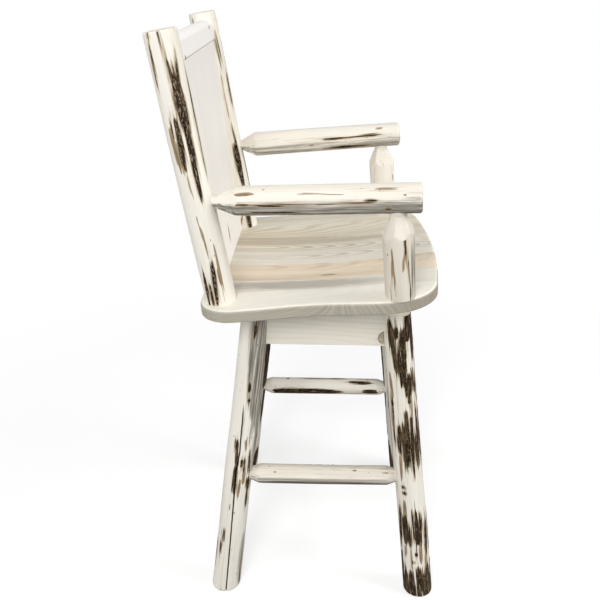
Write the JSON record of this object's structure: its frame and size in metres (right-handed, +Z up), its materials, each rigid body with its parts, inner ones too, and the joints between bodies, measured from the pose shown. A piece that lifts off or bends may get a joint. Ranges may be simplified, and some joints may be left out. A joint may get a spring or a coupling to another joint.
{
  "type": "swivel bar stool",
  "caption": "Rustic swivel bar stool of peeled pine logs and boards: splayed log base with stretchers, turning board seat, boarded back between log posts, log arms.",
  "frame": {"origin": "on the floor under the middle of the overall width and depth", "axes": "+Z up from the floor; -Y towards the front of the seat; +X towards the sitter's left"},
  "size_m": [0.5964, 0.5792, 1.2472],
  "materials": {
    "log_pine": "peeled and left raw, with streaks of bark",
    "board_pine": "planed and left raw",
    "swivel_steel": "zinc plated sheet steel",
    "zinc_screw": "yellow zinc"
  },
  "bodies": {
    "base": {"apron_front": "board_pine", "apron_left": "board_pine", "apron_rear": "board_pine", "apron_right": "board_pine", "base_board": "board_pine", "base_board_screws": "zinc_screw", "leg_front_left": "log_pine", "leg_front_right": "log_pine", "leg_rear_left": "log_pine", "leg_rear_right": "log_pine", "stretcher_front": "log_pine", "stretcher_left": "log_pine", "stretcher_rear": "log_pine", "stretcher_right": "log_pine", "swivel_lower_plate": "swivel_steel", "swivel_base_screws": "zinc_screw", "swivel_rivet": "swivel_steel"},
    "ball_ring": {"bearing_balls": "swivel_steel", "ball_cage": "swivel_steel"},
    "seat": {"arm_left": "log_pine", "arm_right": "log_pine", "arm_support_left": "log_pine", "arm_support_right": "log_pine", "back_board_1": "board_pine", "back_board_2": "board_pine", "back_board_3": "board_pine", "back_board_4": "board_pine", "back_board_screws": "zinc_screw", "back_post_left": "log_pine", "back_post_right": "log_pine", "crest_rail": "board_pine", "seat_board_1": "board_pine", "seat_board_2": "board_pine", "seat_board_3": "board_pine", "seat_board_4": "board_pine", "seat_board_5": "board_pine", "seat_board_6": "board_pine", "seat_board_7": "board_pine", "swivel_seat_screws": "zinc_screw", "swivel_upper_plate": "swivel_steel"}
  },
  "joints": [
    {"name": "seat_swivel", "type": "hinge", "parent": "base", "child": "seat", "pos_m": [0, -0.03112, 0.711], "axis": [0, 0, 1], "continuous": true},
    {"name": "ball_ring_turn", "type": "hinge", "parent": "base", "child": "ball_ring", "pos_m": [0, -0.03112, 0.711], "axis": [0, 0, 1], "continuous": true}
  ],
  "couplings": [
    {"joint": "ball_ring_turn", "follows": "seat_swivel", "ratio": 0.5}
  ]
}
